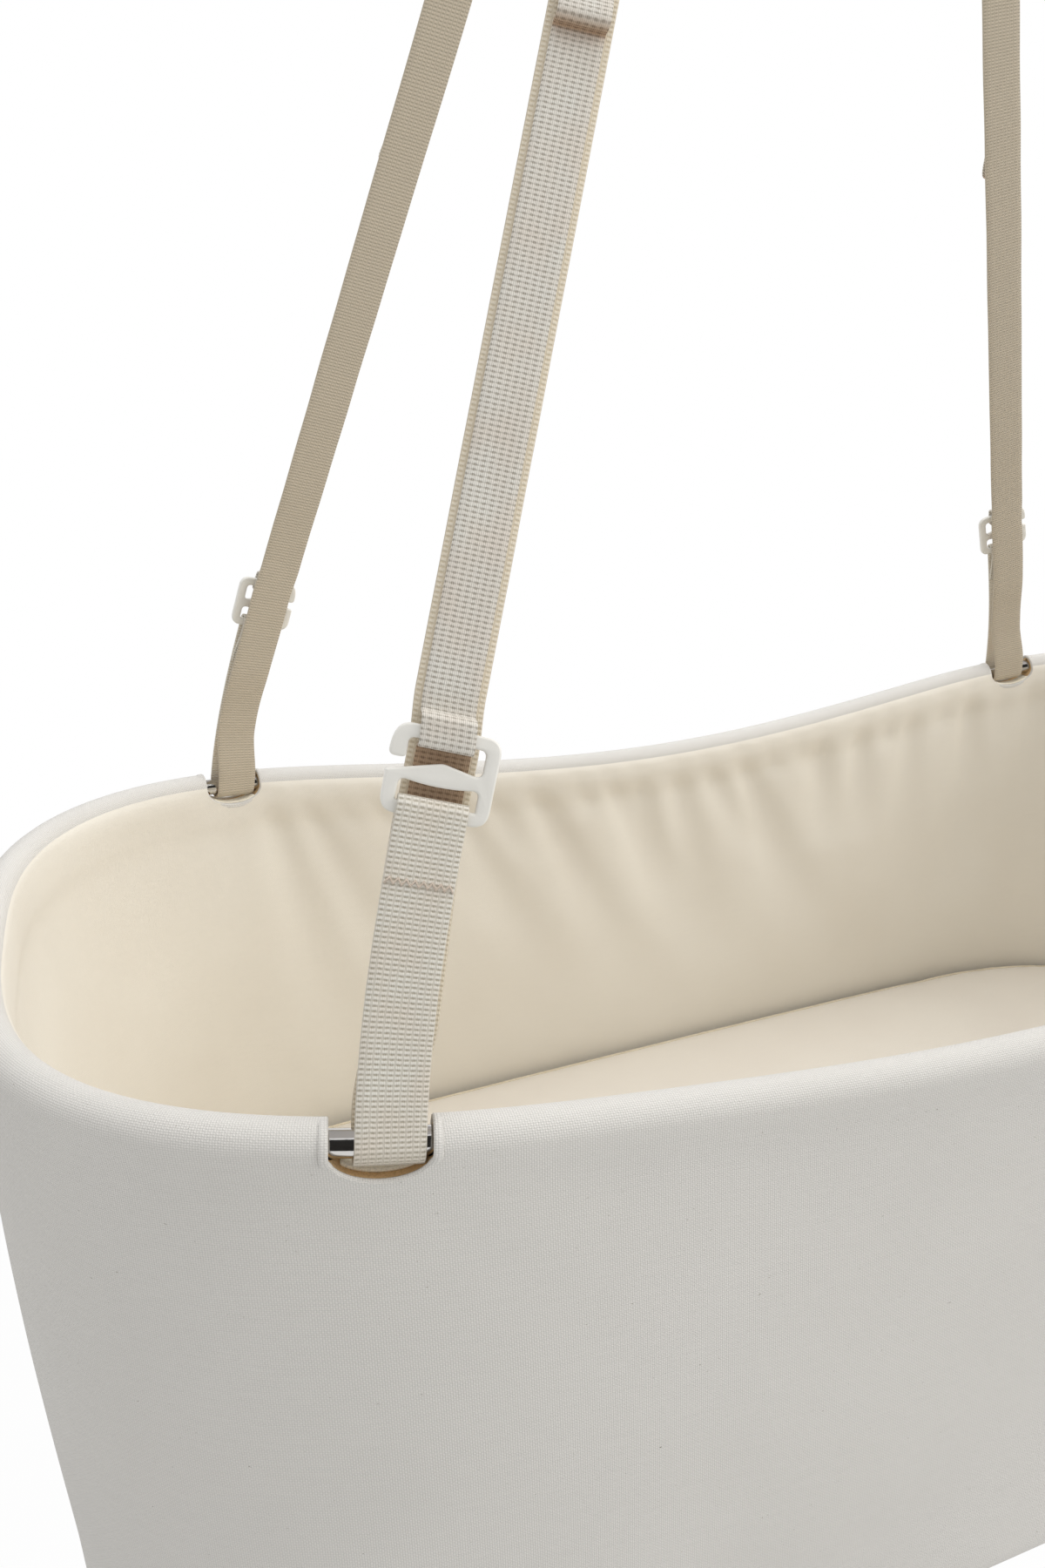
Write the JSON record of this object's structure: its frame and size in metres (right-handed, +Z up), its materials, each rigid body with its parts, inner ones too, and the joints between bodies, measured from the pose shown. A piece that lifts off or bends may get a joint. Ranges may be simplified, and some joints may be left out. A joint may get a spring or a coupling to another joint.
{
  "type": "hanging baby cradle",
  "caption": "Hanging cradle: oval canvas bowl on a steel rim, carried by webbing straps from a ring, snap hook, swivel and ceiling plate.",
  "frame": {"origin": "middle of the ceiling plate's flat upper face, where the cradle is fastened", "axes": "+Z up, X along the cradle's length, Y across it, front towards -Y"},
  "size_m": [0.911, 0.449, 1.3815],
  "materials": {
    "steel": "polished stainless steel",
    "screw_steel": "satin stainless steel",
    "coated_metal": "smooth off-white powder coat",
    "canvas": "plain-weave cotton canvas with dark cotton flecks",
    "lining": "soft cream cotton, gathered",
    "padding": "cream cotton mattress cover",
    "webbing": "coarse ribbed cotton webbing",
    "tape": "narrow ribbed cotton tape",
    "thread": "zigzag sewing thread",
    "plywood": "birch plywood"
  },
  "bodies": {
    "ceiling_fitting": {"ceiling_bracket": "steel", "ceiling_screw_1": "screw_steel", "ceiling_screw_2": "screw_steel", "ceiling_screw_3": "screw_steel", "ceiling_screw_4": "screw_steel"},
    "swivel_top": {"swivel_eye": "steel"},
    "hook_body": {"snap_hook": "steel", "swivel_pin": "steel", "gate_pin": "steel"},
    "gate": {"snap_gate": "steel"},
    "cradle": {"strap_ring": "steel", "front_left_strap": "webbing", "front_left_loop_tape": "tape", "front_left_hook": "coated_metal", "front_left_hook_stitching": "thread", "front_left_top_stitching": "thread", "front_right_strap": "webbing", "front_right_loop_tape": "tape", "front_right_hook": "coated_metal", "front_right_hook_stitching": "thread", "front_right_top_stitching": "thread", "back_left_strap": "webbing", "back_left_loop_tape": "tape", "back_left_hook": "coated_metal", "back_left_hook_stitching": "thread", "back_left_top_stitching": "thread", "back_right_strap": "webbing", "back_right_loop_tape": "tape", "back_right_hook": "coated_metal", "back_right_hook_stitching": "thread", "back_right_top_stitching": "thread", "rim_tube_left": "steel", "rim_tube_right": "steel", "rim_joiner_front": "steel", "rim_joiner_back": "steel", "canvas_bowl": "canvas", "lining": "lining", "base_board": "plywood"},
    "mattress": {"mattress": "padding"}
  },
  "joints": [
    {"name": "swing_sideways", "type": "hinge", "parent": "ceiling_fitting", "child": "swivel_top", "pos_m": [0, 0, -0.035], "axis": [1, 0, 0], "range_deg": [-30, 30]},
    {"name": "swivel", "type": "hinge", "parent": "swivel_top", "child": "hook_body", "pos_m": [0, 0, -0.065], "axis": [0, 0, 1], "continuous": true},
    {"name": "gate_opening", "type": "hinge", "parent": "hook_body", "child": "gate", "pos_m": [0, 0.017, -0.1035], "axis": [-1, 0, 0], "range_deg": [0, 30], "stiffness_Nm_per_rad": 0.2, "springref_deg": -17.19},
    {"name": "swing_lengthwise", "type": "hinge", "parent": "hook_body", "child": "cradle", "pos_m": [0, 0, -0.1705], "axis": [0, 1, 0], "range_deg": [-30, 30]},
    {"name": "mattress_lift", "type": "slide", "parent": "cradle", "child": "mattress", "axis": [0, 0, 1], "range_m": [0, 0.25]}
  ]
}
